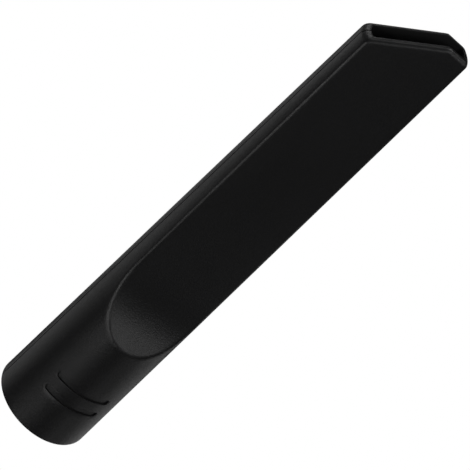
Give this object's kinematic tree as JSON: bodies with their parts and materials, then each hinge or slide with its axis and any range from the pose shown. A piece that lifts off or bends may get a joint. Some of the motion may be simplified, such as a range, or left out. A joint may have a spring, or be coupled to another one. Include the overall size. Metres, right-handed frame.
{
  "type": "vacuum crevice nozzle",
  "caption": "Slim black vacuum crevice nozzle: a round push-on wand socket, two scooped flats and a slanted slot mouth, moulded as half shells.",
  "frame": {"origin": "centre of the socket's rim, where the nozzle stands upright", "axes": "+Z along the duct from the socket's rim to the mouth, -Y out of the front flat with the two grip pockets, +X towards the long side of the slanted mouth"},
  "size_m": [0.0364, 0.0364, 0.1936],
  "materials": {
    "front_plastic": "fine spark-eroded matte black",
    "rear_plastic": "fine spark-eroded matte black"
  },
  "bodies": {
    "root": {"front_shell": "front_plastic", "rear_shell": "rear_plastic"}
  },
  "joints": []
}
